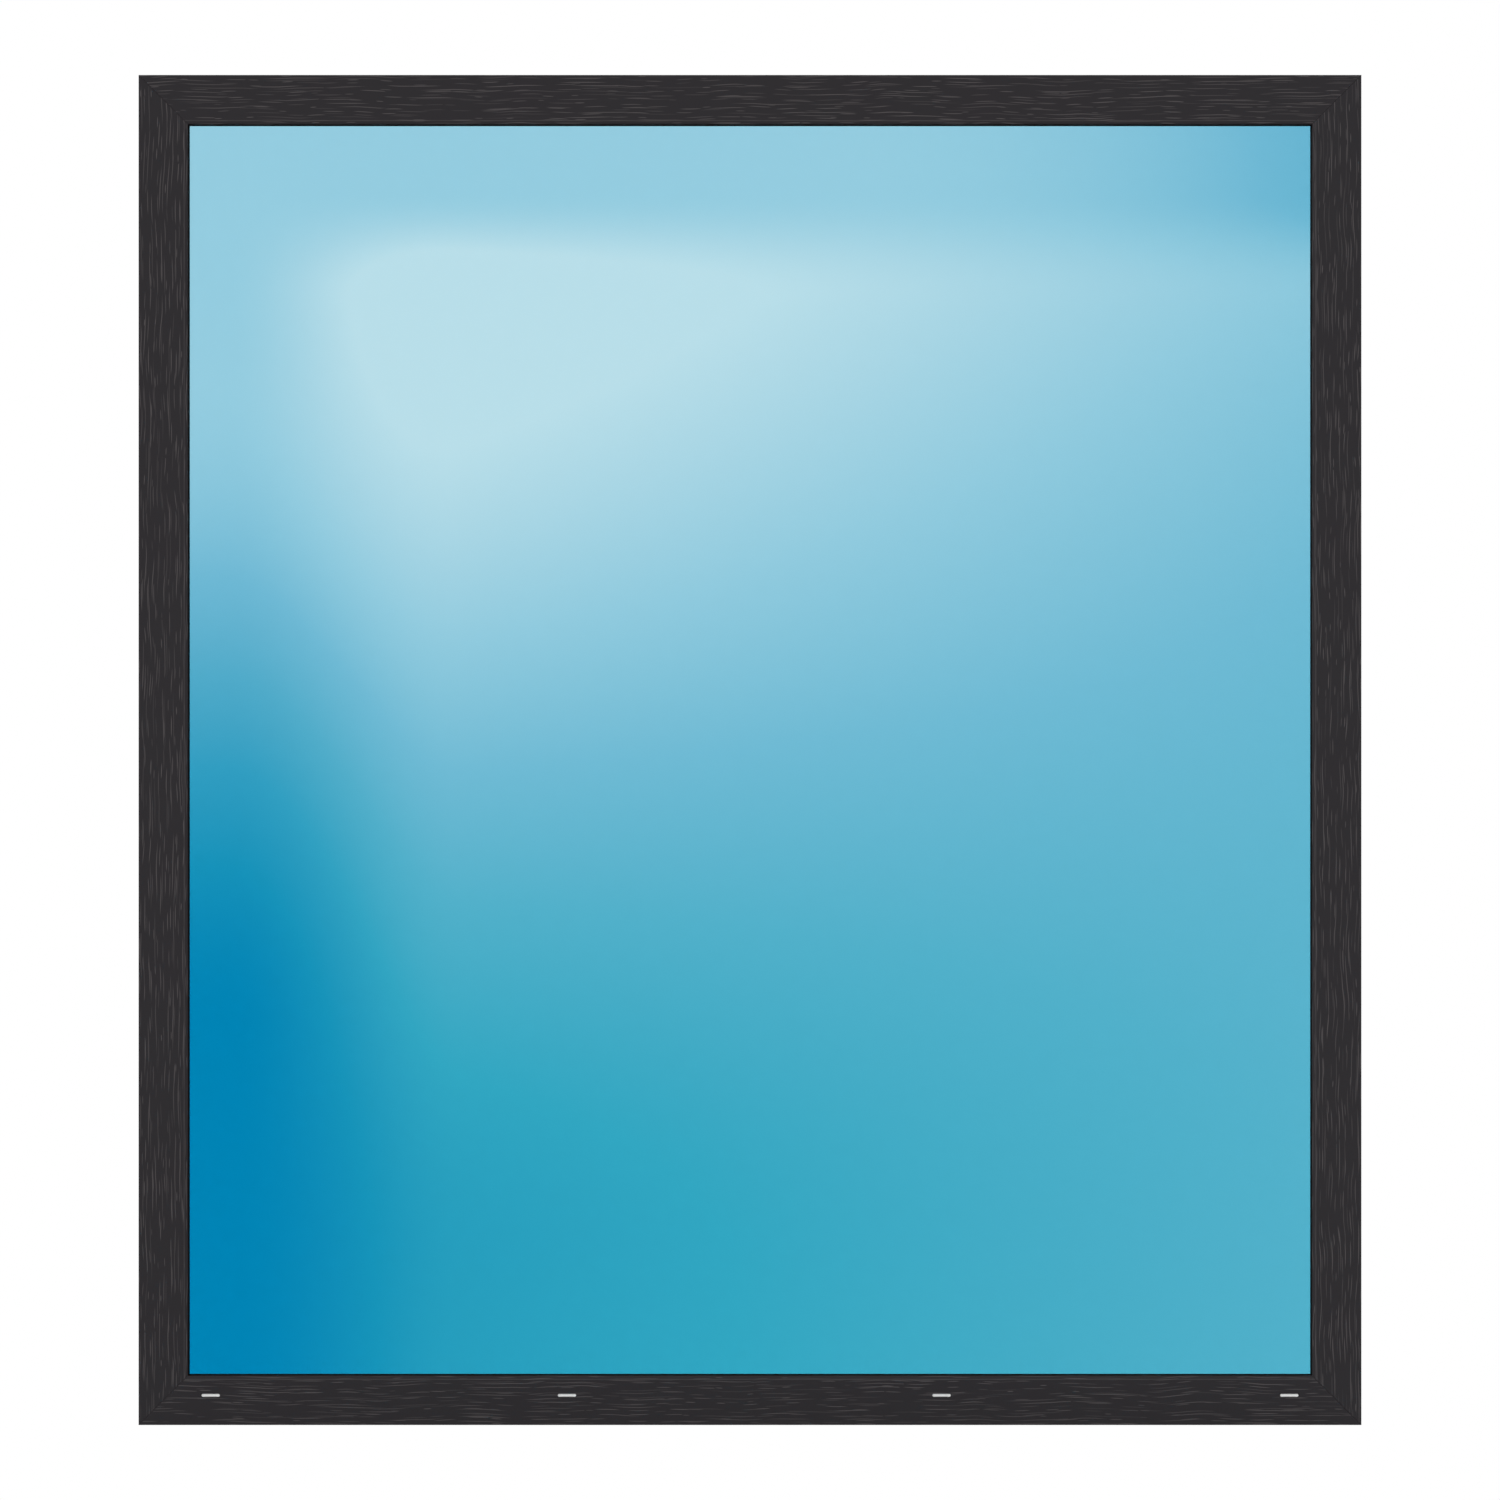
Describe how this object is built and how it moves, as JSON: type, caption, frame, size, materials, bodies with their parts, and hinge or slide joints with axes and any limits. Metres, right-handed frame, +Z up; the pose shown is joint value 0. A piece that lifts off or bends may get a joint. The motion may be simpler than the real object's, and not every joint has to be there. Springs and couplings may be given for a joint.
{
  "type": "fixed picture window",
  "caption": "Large fixed window: a mitred, welded plastic frame with dark woodgrain foil, white drain inserts in its sill, and a sealed double-glazed unit held by inside beads.",
  "frame": {"origin": "middle of the flat underside of the sill, halfway through the frame's depth", "axes": "+Z up, +X along the width to the right as seen from outdoors, -Y faces outdoors and +Y faces the room"},
  "size_m": [1.73, 0.07, 1.91],
  "materials": {
    "foiled_frame": "rigid vinyl extrusion, white inside, with a black-brown woodgrain foil on both faces",
    "foiled_bead": "rigid vinyl extrusion with the same woodgrain foil",
    "black_rubber_seal": "extruded black sealing rubber",
    "outer_glass": "blue sun-control float glass",
    "inner_glass": "clear float glass",
    "black_spacer": "warm-edge spacer bar",
    "black_sealant": "cured edge sealant",
    "packer_plastic": "moulded glazing packer, blue for its thickness",
    "insert_plastic": "moulded white insert in a drain slot",
    "zinc_coated_steel": "roll-formed zinc-coated steel"
  },
  "bodies": {
    "root": {"frame_sill": "foiled_frame", "reinforcement_sill": "zinc_coated_steel", "glazing_bead_sill": "foiled_bead", "outer_seal_sill": "black_rubber_seal", "inner_seal_sill": "black_rubber_seal", "spacer_sill": "black_spacer", "edge_sealant_sill": "black_sealant", "frame_head": "foiled_frame", "reinforcement_head": "zinc_coated_steel", "glazing_bead_head": "foiled_bead", "outer_seal_head": "black_rubber_seal", "inner_seal_head": "black_rubber_seal", "spacer_head": "black_spacer", "edge_sealant_head": "black_sealant", "frame_left": "foiled_frame", "reinforcement_left": "zinc_coated_steel", "glazing_bead_left": "foiled_bead", "outer_seal_left": "black_rubber_seal", "inner_seal_left": "black_rubber_seal", "spacer_left": "black_spacer", "edge_sealant_left": "black_sealant", "frame_right": "foiled_frame", "reinforcement_right": "zinc_coated_steel", "glazing_bead_right": "foiled_bead", "outer_seal_right": "black_rubber_seal", "inner_seal_right": "black_rubber_seal", "spacer_right": "black_spacer", "edge_sealant_right": "black_sealant", "outer_pane": "outer_glass", "inner_pane": "inner_glass", "packer_sill_left": "packer_plastic", "packer_sill_right": "packer_plastic", "packer_head_left": "packer_plastic", "packer_head_right": "packer_plastic", "packer_left_lower": "packer_plastic", "packer_left_upper": "packer_plastic", "packer_right_lower": "packer_plastic", "packer_right_upper": "packer_plastic", "drain_insert_left_end": "insert_plastic", "drain_insert_left_middle": "insert_plastic", "drain_insert_right_middle": "insert_plastic", "drain_insert_right_end": "insert_plastic"}
  },
  "joints": []
}
